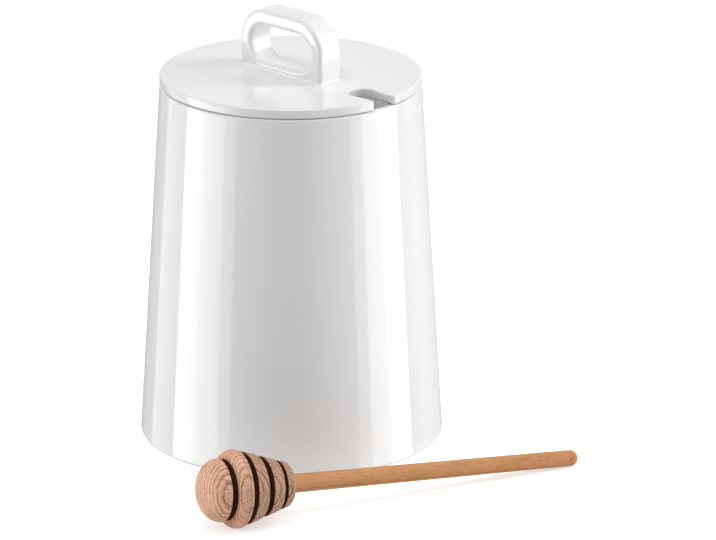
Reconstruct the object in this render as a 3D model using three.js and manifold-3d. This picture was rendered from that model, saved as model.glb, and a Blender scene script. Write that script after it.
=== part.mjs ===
// Honey pot: a tapered moulded pot, a lift-off lid with a loop handle and a keyhole notch,
// and a turned wooden dipper that lies on the table beside it.
// Millimetres, +Z up. The origin is the middle of the pot's flat underside, and +X points to the notch.
import * as THREE from 'three';
import Module from 'manifold-3d';
import { mergeVertices } from 'three/addons/utils/BufferGeometryUtils.js';

const wasm = await Module();
wasm.setup();

// Pot: a straight-sided cone frustum with a soft lower edge
const potHeight = 139.3;
const baseRadius = 58.5;
const rimRadius = 50;
const potWall = 2.8;
const floorThickness = 3.2;
const baseEdgeRadius = 1.2;
const floorEdgeRadius = 6;
const rimEdgeRadius = 0.7;

// Lid plate: a flat disc, flush with the pot's rim
const seatGap = 0.3;
const plateThickness = 3.6;
const plateEdgeRadius = 0.6;

// Notch: a slot for the dipper's stick, from a slightly wider round end out through the plate's edge
const notchWidth = 9.9;
const notchEndWidening = 0.5;
const notchDepth = 16.8;
const notchLipRadius = 1.4;

// Plug: the ring under the plate that centres it in the mouth, with a wall round the notch
const plugDepth = 9;
const plugWall = 1.8;
const plugClearance = 0.5;

// Handle: a straight-sided block with two rounded shoulders and a long eye
const eyeLength = 32;
const eyeHeight = 14.3;
const eyeSill = 3.4;
const handleTopWall = 6;
const handleEndWall = 5.4;
const handleThickness = 11.8;
const handleShoulderRadius = 12;
const handleEdgeRadius = 1.8;

// Screws: two countersunk screws from under the plate up into the handle's ends
const screwInset = 3.9;
const screwShankRadius = 1;
const screwHeadRadius = 2.3;
const screwHeadLip = 0.3;
const screwHeadHeight = 1.4;
const screwReach = 5.5;
const screwDriveRadius = 1.1;
const screwDriveWidth = 0.5;
const screwDriveDepth = 0.7;
const screwClearance = 0.3;

// Dipper head: a domed nose and four rings, parted by four grooves, turned on one core
const noseLength = 8.2;
const noseRadius = 11.9;
const ringThickness = 5.1;
const grooveWidth = 2.45;
const tailGrooveWidth = 1.5;
const tailLength = 4.7;
const tailDomeLength = 3.5;
const coreRadius = 5.6;
const bellyFrontRadius = 11.7;
const bellyRadius = 14.65;
const bellyBackRadius = 14.5;
const tailRadius = 8.9;
const tailEndRadius = 4.6;
const bellyPeakShare = 0.7;

// Dipper stick: a round stick, a little thinner at its far end, glued into the head
const dipperLength = 159.5;
const stickRadius = 3.55;
const stickEndRadius = 3.05;
const stickSocket = 12;
const glueGap = 0.3;

// Where the dipper lies: the way its stick points, how far its axis passes from the pot's foot,
// and how far its widest ring lies behind the point where the axis passes nearest
const dipperHeading = THREE.MathUtils.degToRad(71.1);
const dipperGap = 28.6;
const dipperSetback = 66.5;

const handleLength = eyeLength + 2 * handleEndWall;
const handleHeight = eyeSill + eyeHeight + handleTopWall;
const screwX = handleLength / 2 - screwInset;

const cutOverrun = 1;
const roundSteps = 64;
const dipperSteps = 36;
const screwSteps = 20;

const plastic = { color: 0xf1f1ef, roughness: 0.14, metalness: 0 };
const steel = { color: 0xb8babd, roughness: 0.3, metalness: 1 };
const headWood = { color: 0xd3a888, roughness: 0.65, metalness: 0 };
const stickWood = { color: 0xbf905f, roughness: 0.6, metalness: 0 };

// Points on an arc about (x, y), both ends included.
function arc(x, y, radius, from, to, steps) {
  return Array.from({ length: steps + 1 }, (_, i) => {
    const angle = from + ((to - from) * i) / steps;
    return [x + radius * Math.cos(angle), y + radius * Math.sin(angle)];
  });
}

// A round body about +Z from [radius, height] points that run up its outside.
function turned(profile, steps) {
  const points = profile.map(([radius, height]) => new THREE.Vector2(Math.max(radius, 0), height));
  return new THREE.LatheGeometry(points, steps).rotateX(Math.PI / 2);
}

function cylinder(radius, bottom, top, steps) {
  return turned([[0, bottom], [radius, bottom], [radius, top], [0, top]], steps);
}

// A plate from an outline in X and Y, from one height to another.
function extruded(shape, bottom, top, curveSegments) {
  const options = { depth: top - bottom, bevelEnabled: false, curveSegments };
  return new THREE.ExtrudeGeometry(shape, options).translate(0, 0, bottom);
}

function toSolid(geometry) {
  const bare = geometry.clone();
  bare.deleteAttribute('normal');
  bare.deleteAttribute('uv');
  const merged = mergeVertices(bare);
  return new wasm.Manifold(new wasm.Mesh({
    numProp: 3,
    vertProperties: Float32Array.from(merged.attributes.position.array),
    triVerts: Uint32Array.from(merged.index.array),
  }));
}

function toGeometry(solid) {
  const mesh = solid.getMesh();
  const geometry = new THREE.BufferGeometry();
  geometry.setAttribute('position', new THREE.BufferAttribute(Float32Array.from(mesh.vertProperties), 3));
  geometry.setIndex(new THREE.BufferAttribute(Uint32Array.from(mesh.triVerts), 1));
  geometry.computeVertexNormals();
  return geometry;
}

function piece(name, geometry, look) {
  const mesh = new THREE.Mesh(geometry, new THREE.MeshStandardMaterial(look));
  mesh.name = name;
  return mesh;
}

// The pot's outer radius at a height, along its straight side.
function potRadius(height) {
  return baseRadius + ((rimRadius - baseRadius) * height) / potHeight;
}

// Where an arc is centred that touches the flat at a height and a side line above it.
function cornerCentre(sideRadius, edgeRadius, height) {
  const lean = Math.hypot(1, (baseRadius - rimRadius) / potHeight);
  return sideRadius(height + edgeRadius) - edgeRadius * lean;
}

function potBody() {
  const sideAngle = Math.atan2(baseRadius - rimRadius, potHeight);
  const innerRadius = (height) => potRadius(height) - potWall;
  const foot = cornerCentre(potRadius, baseEdgeRadius, 0);
  const well = cornerCentre(innerRadius, floorEdgeRadius, floorThickness);
  const rimTop = potHeight - rimEdgeRadius;
  const outerRim = potRadius(rimTop) - rimEdgeRadius;
  const innerRim = innerRadius(rimTop) + rimEdgeRadius;
  const profile = [
    [0, 0],
    ...arc(foot, baseEdgeRadius, baseEdgeRadius, -Math.PI / 2, sideAngle, 4),
    ...arc(outerRim, rimTop, rimEdgeRadius, sideAngle, Math.PI / 2, 2),
    ...arc(innerRim, rimTop, rimEdgeRadius, Math.PI / 2, Math.PI, 2),
    ...arc(well, floorThickness + floorEdgeRadius, floorEdgeRadius, sideAngle, -Math.PI / 2, 5),
    [0, floorThickness],
  ];
  return piece('pot_body', turned(profile, roundSteps), plastic);
}

// The notch's outline, grown by a margin: a round end nearest the lid's middle, and a rounded mouth.
function notchShape(margin) {
  const half = notchWidth / 2 + margin;
  const endRadius = half + notchEndWidening;
  const endX = rimRadius - notchDepth + notchWidth / 2 + notchEndWidening;
  const join = Math.acos(half / endRadius);
  const mouthHalf = half + notchLipRadius;
  const mouthX = Math.sqrt(rimRadius ** 2 - mouthHalf ** 2);
  const outside = rimRadius + cutOverrun;
  const lipX = mouthX - notchLipRadius;
  const shape = new THREE.Shape();
  shape.moveTo(outside, -mouthHalf);
  shape.lineTo(outside, mouthHalf);
  shape.lineTo(mouthX, mouthHalf);
  shape.absarc(lipX, mouthHalf, notchLipRadius, 0, -Math.PI / 2, true);
  shape.absarc(endX, 0, endRadius, Math.PI / 2 - join, 1.5 * Math.PI + join, false);
  shape.absarc(lipX, -mouthHalf, notchLipRadius, Math.PI / 2, 0, true);
  return shape;
}

function notchCutter(bottom, top) {
  return toSolid(extruded(notchShape(0), bottom - cutOverrun, top + cutOverrun, 16));
}

// A disc with softened upper and lower edges, cut by the notch and two countersunk screw holes.
function lidPlate() {
  const profile = [
    [0, 0],
    ...arc(rimRadius - plateEdgeRadius, plateEdgeRadius, plateEdgeRadius, -Math.PI / 2, 0, 2),
    ...arc(rimRadius - plateEdgeRadius, plateThickness - plateEdgeRadius, plateEdgeRadius, 0, Math.PI / 2, 3),
    [0, plateThickness],
  ];
  let plate = toSolid(turned(profile, roundSteps)).subtract(notchCutter(0, plateThickness));
  for (const side of [-1, 1]) {
    plate = plate.subtract(toSolid(screwHole().translate(side * screwX, 0, 0)));
  }
  return piece('lid_plate', toGeometry(plate), plastic);
}

// The space that a screw takes, grown by its clearance, from under the plate up into the handle.
function screwHole() {
  const shank = screwShankRadius + screwClearance;
  const head = screwHeadRadius + screwClearance;
  return turned([
    [0, -cutOverrun],
    [head, -cutOverrun],
    [head, screwHeadLip + screwClearance],
    [shank, screwHeadHeight + screwClearance],
    [shank, plateThickness + screwReach + screwClearance],
    [0, plateThickness + screwReach + screwClearance],
  ], screwSteps);
}

// A ring that hangs under the plate, and the wall that closes it round the notch.
function lidPlug() {
  const outerRadius = rimRadius - potWall - plugClearance;
  const disc = toSolid(cylinder(outerRadius, -plugDepth, 0, roundSteps));
  const bore = toSolid(cylinder(outerRadius - plugWall, -plugDepth - cutOverrun, cutOverrun, roundSteps));
  const notchWall = toSolid(extruded(notchShape(plugWall), -plugDepth, 0, 16)).intersect(disc);
  const plug = disc.subtract(bore).add(notchWall).subtract(notchCutter(-plugDepth, 0));
  return piece('lid_plug', toGeometry(plug), plastic);
}

// The handle's side view, inset by its edge radius, which the bevel gives back.
function handleShape() {
  const halfLength = handleLength / 2 - handleEdgeRadius;
  const top = handleHeight - handleEdgeRadius;
  const shoulder = handleShoulderRadius - handleEdgeRadius;
  const foot = -cutOverrun - handleEdgeRadius;
  const shape = new THREE.Shape();
  shape.moveTo(-halfLength, foot);
  shape.lineTo(halfLength, foot);
  shape.lineTo(halfLength, top - shoulder);
  shape.absarc(halfLength - shoulder, top - shoulder, shoulder, 0, Math.PI / 2, false);
  shape.absarc(shoulder - halfLength, top - shoulder, shoulder, Math.PI / 2, Math.PI, false);
  shape.holes.push(eyePath());
  return shape;
}

// The eye's outline, grown by the edge radius, which the bevel takes back.
function eyePath() {
  const radius = eyeHeight / 2 + handleEdgeRadius;
  const reach = (eyeLength - eyeHeight) / 2;
  const middle = eyeSill + eyeHeight / 2;
  const eye = new THREE.Path();
  eye.absarc(reach, middle, radius, -Math.PI / 2, Math.PI / 2, false);
  eye.absarc(-reach, middle, radius, Math.PI / 2, 1.5 * Math.PI, false);
  return eye;
}

// The handle stands on the plate: everything below its foot is cut away, and so are the screws' holes.
function lidHandle() {
  const depth = handleThickness - 2 * handleEdgeRadius;
  const block = new THREE.ExtrudeGeometry(handleShape(), {
    depth,
    bevelEnabled: true,
    bevelThickness: handleEdgeRadius,
    bevelSize: handleEdgeRadius,
    bevelSegments: 3,
    curveSegments: 10,
  });
  block.translate(0, 0, -depth / 2).rotateX(Math.PI / 2);
  const reach = handleLength + handleHeight;
  const below = new THREE.BoxGeometry(reach, reach, reach).translate(0, 0, -reach / 2);
  let handle = toSolid(block).subtract(toSolid(below));
  for (const side of [-1, 1]) {
    handle = handle.subtract(toSolid(screwHole().translate(side * screwX, 0, -plateThickness)));
  }
  const mesh = piece('lid_handle', toGeometry(handle), plastic);
  mesh.position.z = plateThickness;
  return mesh;
}

// A countersunk screw, head down and flush with the plate's underside, with a cross drive.
function screw(name, side) {
  const top = plateThickness + screwReach;
  const body = toSolid(turned([
    [0, 0],
    [screwHeadRadius, 0],
    [screwHeadRadius, screwHeadLip],
    [screwShankRadius, screwHeadHeight],
    [screwShankRadius, top - screwShankRadius],
    [0, top],
  ], screwSteps));
  const slot = new THREE.BoxGeometry(2 * screwDriveRadius, screwDriveWidth, 2 * screwDriveDepth);
  const cross = toSolid(slot).add(toSolid(slot.clone().rotateZ(Math.PI / 2)));
  const mesh = piece(name, toGeometry(body.subtract(cross)), steel);
  mesh.position.x = side * screwX;
  return mesh;
}

function lid() {
  const group = new THREE.Group();
  group.add(
    lidPlate(),
    lidPlug(),
    lidHandle(),
    screw('handle_screw_notch_side', 1),
    screw('handle_screw_far_side', -1),
  );
  group.position.z = potHeight + seatGap;
  return group;
}

const bellyStart = noseLength + grooveWidth;
const bellyPeak = bellyStart + ringThickness * bellyPeakShare;
const bellyEnd = bellyStart + ringThickness;
const lastRingEnd = bellyEnd + 2 * (grooveWidth + ringThickness);
const tailStart = lastRingEnd + tailGrooveWidth;
const headLength = tailStart + tailLength;
const tailTurn = headLength - tailDomeLength;

// The head's outer radius behind the belly, along one straight cone.
function coneRadius(along) {
  const share = (along - bellyEnd) / (tailTurn - bellyEnd);
  return bellyBackRadius + (tailRadius - bellyBackRadius) * share;
}

// A quarter of an ellipse from (fromRadius, from) that bulges out to (toRadius, to).
function bulge(fromRadius, from, toRadius, to, steps) {
  return arc(0, 0, 1, -Math.PI / 2, 0, steps).map(([across, along]) => [
    fromRadius + (toRadius - fromRadius) * across,
    to + (to - from) * along,
  ]);
}

// One of the two rings between belly and tail, after a groove down to the core.
function ringPoints(start) {
  const end = start + ringThickness;
  return [[coreRadius, start], [coneRadius(start), start], [coneRadius(end), end], [coreRadius, end]];
}

// The head along its axis, nose tip at zero, with a blind bore in its tail for the stick.
function dipperHead() {
  const bore = stickRadius + glueGap;
  const boreStart = headLength - stickSocket - glueGap;
  const profile = [
    ...bulge(0, 0, noseRadius, noseLength, 7),
    [coreRadius, noseLength],
    [coreRadius, bellyStart],
    ...bulge(bellyFrontRadius, bellyStart, bellyRadius, bellyPeak, 4),
    [bellyBackRadius, bellyEnd],
    [coreRadius, bellyEnd],
    ...ringPoints(bellyEnd + grooveWidth),
    ...ringPoints(lastRingEnd - ringThickness),
    [coreRadius, tailStart],
    [coneRadius(tailStart), tailStart],
    ...bulge(tailEndRadius, headLength, tailRadius, tailTurn, 4).reverse(),
    [bore, headLength],
    [bore, boreStart],
    [0, boreStart],
  ];
  return piece('dipper_head', turned(profile, dipperSteps), headWood);
}

function dipperStick() {
  const profile = [
    [0, headLength - stickSocket],
    [stickRadius, headLength - stickSocket],
    [stickRadius, headLength],
    ...arc(0, dipperLength - stickEndRadius, stickEndRadius, 0, Math.PI / 2, 5),
  ];
  return piece('dipper_stick', turned(profile, dipperSteps), stickWood);
}

// The dipper lies on the table on its belly and on its stick's far end, so its axis slopes down.
function dipper() {
  const group = new THREE.Group();
  group.add(dipperHead(), dipperStick());
  const slope = Math.atan2(bellyRadius - stickEndRadius, dipperLength - stickEndRadius - bellyPeak);
  const heading = new THREE.Vector3(Math.cos(dipperHeading), Math.sin(dipperHeading), 0);
  const left = new THREE.Vector3(-heading.y, heading.x, 0);
  const along = heading.clone().multiplyScalar(Math.cos(slope)).setZ(-Math.sin(slope));
  const down = new THREE.Vector3().crossVectors(left, along);
  group.quaternion.setFromRotationMatrix(new THREE.Matrix4().makeBasis(down, left, along));
  group.position.setZ(bellyRadius * Math.cos(slope));
  group.position.addScaledVector(left, -baseRadius - dipperGap);
  group.position.addScaledVector(heading, -dipperSetback);
  group.position.addScaledVector(along, -bellyPeak);
  return group;
}

const honeyPot = new THREE.Group();
honeyPot.add(potBody(), lid(), dipper());
export default honeyPot;
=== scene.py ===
import math
from collections import Counter, namedtuple

import bmesh
import bpy
from mathutils import Matrix, Vector


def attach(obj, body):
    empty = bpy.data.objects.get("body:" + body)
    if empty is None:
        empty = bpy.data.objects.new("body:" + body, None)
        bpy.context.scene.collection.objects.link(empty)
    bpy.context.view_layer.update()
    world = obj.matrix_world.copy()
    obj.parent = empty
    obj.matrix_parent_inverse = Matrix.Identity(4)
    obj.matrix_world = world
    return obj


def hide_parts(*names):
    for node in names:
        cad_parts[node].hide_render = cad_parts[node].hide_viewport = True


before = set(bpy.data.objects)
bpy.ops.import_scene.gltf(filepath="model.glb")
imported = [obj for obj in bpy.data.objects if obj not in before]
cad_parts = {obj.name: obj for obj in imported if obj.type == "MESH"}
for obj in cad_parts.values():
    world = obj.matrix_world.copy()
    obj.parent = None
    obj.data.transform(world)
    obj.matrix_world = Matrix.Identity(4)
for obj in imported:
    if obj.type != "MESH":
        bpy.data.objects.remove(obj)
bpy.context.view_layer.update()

bl_info = {
    "name": "Honey Pot",
    "version": (1, 0, 0),
    "blender": (4, 5, 0),
    "location": "3D View > Sidebar > Honey Pot",
    "description": "Makes a moulded honey pot with its lid, loop handle and turned beech dipper",
    "category": "Object",
}

QUARTER = math.pi / 2
SHARP_ANGLE = math.radians(24)  # edges of a mesh that turn by more stay crisp
CORNER_ANGLE = math.radians(40)  # corners of a turned profile that turn by more get softened
ROUND_STEPS = 192  # faces round the pot and the lid
SUPPORT = 0.0005  # how far from a bend a flat run gets its extra point
SLACK = SUPPORT / 50  # how far past a groove's end a point still counts as in it
WELD = 1e-7  # mesh points closer than this become one
TURNED_WELD = 1e-6  # the same for turned forms, which close on their axis and at their seam
BELLY_PEAK = 0.7  # share of the belly's length at which it is widest


# Values that a user would change


def linear(code):
    """An sRGB hex colour as linear RGBA."""
    shares = [int(code[i:i + 2], 16) / 255 for i in (0, 2, 4)]
    return (*(s / 12.92 if s <= 0.04045 else ((s + 0.055) / 1.055) ** 2.4 for s in shares), 1)


def length(name, millimetres, description):
    """A size, given in millimetres and kept in metres."""
    return bpy.props.FloatProperty(
        name=name, description=description, default=millimetres / 1000, min=0, unit="LENGTH", precision=5)


def colour(name, code, description):
    return bpy.props.FloatVectorProperty(
        name=name, description=description, default=linear(code), size=4, min=0, max=1, subtype="COLOR")


def angle(name, degrees, description):
    return bpy.props.FloatProperty(
        name=name, description=description, default=math.radians(degrees), subtype="ANGLE")


def radiance(name, value, description):
    """The level of a light, on a scale where the white of the background is 1."""
    return bpy.props.FloatProperty(name=name, description=description, default=value, min=0, max=20)


class PotSizes(bpy.types.PropertyGroup):
    height: length("Height", 139.3, "From the table to the rim")
    base_radius: length("Base Radius", 58.5, "Where the straight side would meet the table")
    rim_radius: length("Rim Radius", 50, "Outer radius at the rim, and the lid's")
    wall: length("Wall", 2.8, "Thickness of the side")
    floor: length("Floor", 3.2, "Thickness of the floor")
    foot_edge: length("Foot Edge", 1.2, "Rounding where the side meets the table")
    well_edge: length("Well Edge", 6, "Rounding inside, between floor and side")
    rim_edge: length("Rim Edge", 0.7, "Rounding of the rim")


class LidSizes(bpy.types.PropertyGroup):
    seat_gap: length("Seat Gap", 0.3, "Seam between rim and lid")
    thickness: length("Thickness", 3.6, "Thickness of the plate")
    edge: length("Edge", 0.6, "Rounding of the plate's edges")
    notch_width: length("Notch Width", 9.9, "Between the notch's straight sides")
    notch_widening: length("Notch Widening", 0.5, "How much the round end stands back from each side")
    notch_depth: length("Notch Depth", 16.8, "From the plate's edge to the round end")
    notch_lip: length("Notch Lip", 1.4, "Rounding of the notch's mouth")
    ring_depth: length("Ring Depth", 9, "How far the locating ring hangs down")
    ring_wall: length("Ring Wall", 1.8, "Thickness of the locating ring")
    ring_clearance: length("Ring Clearance", 0.5, "Between the ring and the pot's side")
    ring_edge: length("Ring Edge", 0.4, "Rounding of the ring's lower edges")


class HandleSizes(bpy.types.PropertyGroup):
    eye_length: length("Eye Length", 32, "Length of the eye")
    eye_height: length("Eye Height", 14.3, "Height of the eye")
    sill: length("Sill", 3.4, "From the plate up to the eye")
    top_wall: length("Top Wall", 6, "Above the eye")
    end_wall: length("End Wall", 5.4, "Beside the eye")
    thickness: length("Thickness", 11.8, "Across the handle")
    shoulder: length("Shoulder", 12, "Radius of the two shoulders")
    edge: length("Edge", 1.8, "Rounding of all the long edges")
    foot_fillet: length("Foot Fillet", 1, "Hollow rounding where the handle meets the plate")


class ScrewSizes(bpy.types.PropertyGroup):
    inset: length("Inset", 3.9, "From the handle's end to the screw's axis")
    shank_radius: length("Shank Radius", 1, "Radius of the shank")
    head_radius: length("Head Radius", 2.3, "Radius of the head")
    head_lip: length("Head Lip", 0.3, "Upright part of the head")
    head_height: length("Head Height", 1.4, "Height of the head")
    reach: length("Reach", 5.5, "How far the screw goes into the handle")
    drive_reach: length("Drive Reach", 1.1, "From the middle to the cross drive's ends")
    drive_width: length("Drive Width", 0.5, "Width of the cross drive")
    drive_depth: length("Drive Depth", 0.7, "Depth of the cross drive")
    clearance: length("Clearance", 0.3, "Between screw and hole")


class DipperSizes(bpy.types.PropertyGroup):
    nose_length: length("Nose Length", 8.2, "Length of the domed nose")
    nose_radius: length("Nose Radius", 11.9, "Radius of the nose")
    ring: length("Ring", 5.1, "Thickness of each of the three rings")
    groove: length("Groove", 2.45, "Width of the first three grooves")
    tail_groove: length("Tail Groove", 1.5, "Width of the last groove")
    tail_length: length("Tail Length", 4.7, "Length of the tail")
    tail_dome: length("Tail Dome", 3.5, "Length of the tail's rounding")
    core_radius: length("Core Radius", 5.6, "Radius at the bottom of the grooves")
    belly_front: length("Belly Front", 11.7, "Radius where the belly starts")
    belly_radius: length("Belly Radius", 14.65, "Largest radius of the head")
    belly_back: length("Belly Back", 14.5, "Radius where the belly ends")
    tail_radius: length("Tail Radius", 8.9, "Radius where the tail starts to round off")
    tail_end: length("Tail End", 4.6, "Radius of the tail's end face")
    turned_edge: length("Turned Edge", 0.35, "Softening of the turned edges")
    total: length("Total Length", 159.5, "Nose to the stick's end")
    stick_radius: length("Stick Radius", 3.55, "Radius of the stick at the head")
    stick_end: length("Stick End", 3.05, "Radius of the stick at its far end")
    socket: length("Socket", 12, "How deep the stick stands in the head")
    glue_gap: length("Glue Gap", 0.3, "Between stick and bore")
    heading: angle("Heading", 71.1, "Which way the stick points on the table")
    foot_gap: length("Foot Gap", 28.6, "From the pot's foot to the dipper's axis")
    setback: length("Setback", 66.5, "How far the belly lies behind the point nearest the pot")


class Finishes(bpy.types.PropertyGroup):
    plastic: colour("Plastic", "F0F1F1", "White of the pot and lid")
    steel: colour("Steel", "BEBFC1", "Screws")
    head_wood: colour("Head Wood", "F2C9AB", "Early wood of the dipper's head")
    head_lines: colour("Head Lines", "A9714E", "Late wood of the dipper's head")
    # The two groove colours are painted shade: dark at the grooves' lips and darker still down in them, where
    # shade falls.
    groove_painted_shade: colour("Groove Painted Shade", "4A1A06", "Painted shade at the grooves' lips")
    groove_floor_painted_shade: colour("Groove Floor Painted Shade", "1E0902", "Deeper painted shade down in the grooves")
    stick_wood: colour("Stick Wood", "D6A06C", "Early wood of the stick")
    stick_lines: colour("Stick Lines", "BC8656", "Late wood of the stick")
    flecks: colour("Flecks", "95603F", "Rays and pores in the wood")


class Studio(bpy.types.PropertyGroup):
    ambient: radiance("Ambient", 0.31, "Light of the room on the object")
    softbox: radiance("Softbox", 5.6, "Light of the two side softboxes")
    wing: radiance("Wing", 4.5, "Light of the scrims in front of the softboxes")
    key: radiance("Key", 3.1, "Light of the panel above the lid")
    spot: radiance("Spot", 0.27, "Light of the small gridded lamp on the dipper's head")
    floor_lift: radiance("Floor Lift", 0.5, "What the floor adds so that it shows white")
    distance: length("Distance", 1000, "From the pot to the side lamps")
    lens: length("Lens", 275.43, "Focal length of the camera")


SETTINGS = {
    "pot": PotSizes,
    "lid": LidSizes,
    "handle": HandleSizes,
    "screws": ScrewSizes,
    "dipper": DipperSizes,
    "finishes": Finishes,
    "studio": Studio,
}


class HoneyPotSettings(bpy.types.PropertyGroup):
    __annotations__ = {group: bpy.props.PointerProperty(type=kind) for group, kind in SETTINGS.items()}


def pot_settings():
    """The groups of values that the panel shows."""
    return bpy.context.scene.honey_pot


# Nodes


def add(tree, kind, inputs=None, **settings):
    """Adds a node, sets its settings, and fills or links its inputs by name or number. A node that is given
    as an input stands for its first output."""
    node = tree.nodes.new(kind)
    node.location.x = 200 * len(tree.nodes)
    for name, value in settings.items():
        setattr(node, name, value)
    for name, value in (inputs or {}).items():
        if isinstance(value, bpy.types.Node):
            value = value.outputs[0]
        if isinstance(value, bpy.types.NodeSocket):
            tree.links.new(value, node.inputs[name])
        else:
            node.inputs[name].default_value = value
    return node


def new_tree(name, sockets):
    """A node tree for a modifier, with its named inputs. Returns it with its input and output nodes."""
    tree = bpy.data.node_groups.new(name, "GeometryNodeTree")
    tree.is_modifier = True
    for label, kind in sockets.items():
        tree.interface.new_socket(name=label, in_out="INPUT", socket_type=f"NodeSocket{kind}")
    tree.interface.new_socket(name="Geometry", in_out="OUTPUT", socket_type="NodeSocketGeometry")
    return tree, add(tree, "NodeGroupInput").outputs, add(tree, "NodeGroupOutput")


def turned_form():
    """Sweeps a profile, whose X is the radius and Z the height, once round the Z axis and closes it."""
    name = "Turned Form"
    if name in bpy.data.node_groups:
        return bpy.data.node_groups[name]
    tree, given, result = new_tree(name, {"Profile": "Geometry", "Steps": "Int", "Material": "Material"})
    rows = add(tree, "GeometryNodeAttributeDomainSize", {0: given["Profile"]}, component="MESH")
    columns = add(tree, "FunctionNodeIntegerMath", {0: given["Steps"], 1: 1}, operation="ADD")
    grid = add(tree, "GeometryNodeMeshGrid", {"Vertices X": columns, "Vertices Y": rows})
    index = add(tree, "GeometryNodeInputIndex")
    row = add(tree, "FunctionNodeIntegerMath", {0: index, 1: rows}, operation="MODULO")
    column = add(tree, "FunctionNodeIntegerMath", {0: index, 1: rows}, operation="DIVIDE_FLOOR")
    place = add(tree, "GeometryNodeInputPosition")
    point = add(tree, "GeometryNodeSampleIndex", {"Geometry": given["Profile"], "Value": place, "Index": row},
                data_type="FLOAT_VECTOR", domain="POINT")
    # Depth down a groove, which the wood's painted groove shade follows.
    painted_depth = add(tree, "GeometryNodeInputNamedAttribute", {"Name": "groove"}, data_type="FLOAT")
    groove = add(tree, "GeometryNodeSampleIndex", {"Geometry": given["Profile"], "Value": painted_depth, "Index": row},
                 data_type="FLOAT", domain="POINT")
    share = add(tree, "ShaderNodeMath", {0: column, 1: given["Steps"]}, operation="DIVIDE")
    turn = add(tree, "ShaderNodeMath", {0: share, 1: math.tau}, operation="MULTIPLY")
    swung = add(tree, "ShaderNodeVectorRotate", {"Vector": point, "Angle": turn}, rotation_type="Z_AXIS")
    marked = add(tree, "GeometryNodeStoreNamedAttribute", {
        "Geometry": grid, "Name": "groove", "Value": groove}, data_type="FLOAT", domain="POINT")
    shaped = add(tree, "GeometryNodeSetPosition", {"Geometry": marked, "Position": swung})
    closed = add(tree, "GeometryNodeMergeByDistance", {"Geometry": shaped, "Distance": TURNED_WELD})
    whole = add(tree, "GeometryNodeRealizeInstances", {0: closed})
    dressed = add(tree, "GeometryNodeSetMaterial", {0: whole, "Material": given["Material"]})
    tree.links.new(dressed.outputs[0], result.inputs[0])
    return tree


def screw_pair():
    """Turns a countersunk screw from its profile, cuts its cross drive and sets one at each end of a line."""
    tree, given, result = new_tree("Screw Pair", {
        "Profile": "Geometry", "Steps": "Int", "Offset": "Float", "Seat Height": "Float",
        "Drive Reach": "Float", "Drive Width": "Float", "Drive Depth": "Float", "Material": "Material"})
    body = add(tree, "GeometryNodeGroup", node_tree=turned_form())
    for label in ("Profile", "Steps", "Material"):
        tree.links.new(given[label], body.inputs[label])
    long = add(tree, "ShaderNodeMath", {0: given["Drive Reach"], 1: 2}, operation="MULTIPLY")
    deep = add(tree, "ShaderNodeMath", {0: given["Drive Depth"], 1: 2}, operation="MULTIPLY")
    cross = add(tree, "GeometryNodeMeshBoolean", operation="UNION", solver="MANIFOLD")
    for sides in ((given["Drive Width"], long), (long, given["Drive Width"])):
        size = add(tree, "ShaderNodeCombineXYZ", {0: sides[0], 1: sides[1], 2: deep})
        bar = add(tree, "GeometryNodeMeshCube", {"Size": size})
        tree.links.new(bar.outputs[0], cross.inputs["Mesh 2"])
    cut = add(tree, "GeometryNodeMeshBoolean", {"Mesh 1": body, "Mesh 2": cross},
              operation="DIFFERENCE", solver="MANIFOLD")
    back = add(tree, "ShaderNodeMath", {0: given["Offset"], 1: -1}, operation="MULTIPLY")
    apart = add(tree, "ShaderNodeMath", {0: given["Offset"], 1: 2}, operation="MULTIPLY")
    start = add(tree, "ShaderNodeCombineXYZ", {0: back, 2: given["Seat Height"]})
    step = add(tree, "ShaderNodeCombineXYZ", {0: apart})
    seats = add(tree, "GeometryNodeMeshLine", {"Count": 2, "Start Location": start, "Offset": step},
                mode="OFFSET")
    set_out = add(tree, "GeometryNodeInstanceOnPoints", {"Points": seats, "Instance": cut})
    whole = add(tree, "GeometryNodeRealizeInstances", {0: set_out})
    dressed = add(tree, "GeometryNodeSetMaterial", {0: whole, "Material": given["Material"]})
    tree.links.new(dressed.outputs[0], result.inputs[0])
    return tree


# Outlines and profiles, as lists of points


def arc(x, y, radius, start, end, steps):
    """Points along part of a circle, from one turn to another."""
    turns = (start + (end - start) * i / steps for i in range(steps + 1))
    return [(x + radius * math.cos(turn), y + radius * math.sin(turn)) for turn in turns]


def supported(points, closed=False):
    """Adds a point near both ends of each long straight run, so that smooth shading stays flat along it."""
    points = points + points[:1] if closed else points
    result = [points[0]]
    for start, end in zip(points, points[1:]):
        run = math.dist(start, end)
        if run > 4 * SUPPORT:
            near = SUPPORT / run
            result += [tuple(a + (b - a) * share for a, b in zip(start, end)) for share in (near, 1 - near)]
        result.append(end)
    return result[:-1] if closed else result


def eased(points, radius, steps=3):
    """Softens every crisp corner of a profile. That takes less than half of the sides beside it."""
    most = 0.45  # the share of a side that it may take
    result = [points[0]]
    for before, corner, after in zip(points, points[1:], points[2:]):
        here = Vector(corner)
        to_before, to_after = Vector(before) - here, Vector(after) - here
        if math.pi - to_before.angle(to_after) < CORNER_ANGLE:
            result.append(corner)
            continue
        cut = min(radius, most * to_before.length, most * to_after.length)
        start, end = here + to_before.normalized() * cut, here + to_after.normalized() * cut
        for i in range(steps + 1):
            share = i / steps
            result.append(tuple(start.lerp(here, share).lerp(here.lerp(end, share), share)))
    return result + [points[-1]]


def grown(outline, distance):
    """An outline that runs anticlockwise, moved outwards by a distance with mitred corners."""
    result = []
    for i, point in enumerate(outline):
        here, before, after = Vector(point), Vector(outline[i - 1]), Vector(outline[(i + 1) % len(outline)])
        first, second = (here - before).normalized(), (after - here).normalized()
        mitre = Vector((first.y + second.y, -first.x - second.x))
        result.append(here + mitre * (2 * distance / mitre.length_squared))
    return result


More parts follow.
